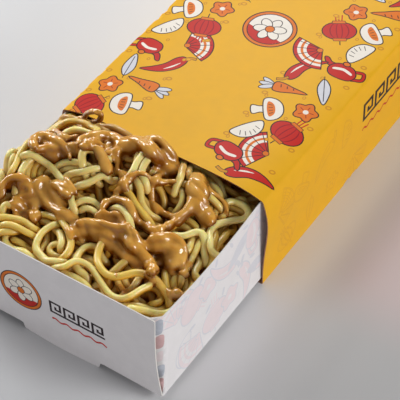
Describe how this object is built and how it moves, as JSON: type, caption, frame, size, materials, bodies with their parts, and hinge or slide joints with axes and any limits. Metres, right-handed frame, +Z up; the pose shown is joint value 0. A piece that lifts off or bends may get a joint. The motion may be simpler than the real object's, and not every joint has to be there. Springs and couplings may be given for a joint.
{
  "type": "noodle takeaway box",
  "caption": "Long board tray heaped with noodles and thick sauce, partly drawn out of a printed board sleeve that slides off it.",
  "frame": {"origin": "middle of the base, on the surface the box stands on, halfway along the whole length", "axes": "+Y runs along the box from the tray's front panel into the sleeve, +X is across it, +Z is up"},
  "size_m": [0.1072, 0.2758, 0.0696],
  "materials": {
    "tray_board": "white coated board, satin",
    "sleeve_board": "yellow printed coated board, satin",
    "noodles": "moist noodles with glossy brown sauce"
  },
  "bodies": {
    "tray_with_food": {"tray": "tray_board", "noodles": "noodles"},
    "sleeve": {"sleeve": "sleeve_board"}
  },
  "joints": [
    {"name": "sleeve_slide", "type": "slide", "parent": "tray_with_food", "child": "sleeve", "axis": [0, 1, 0], "range_m": [0, 0.12]}
  ]
}
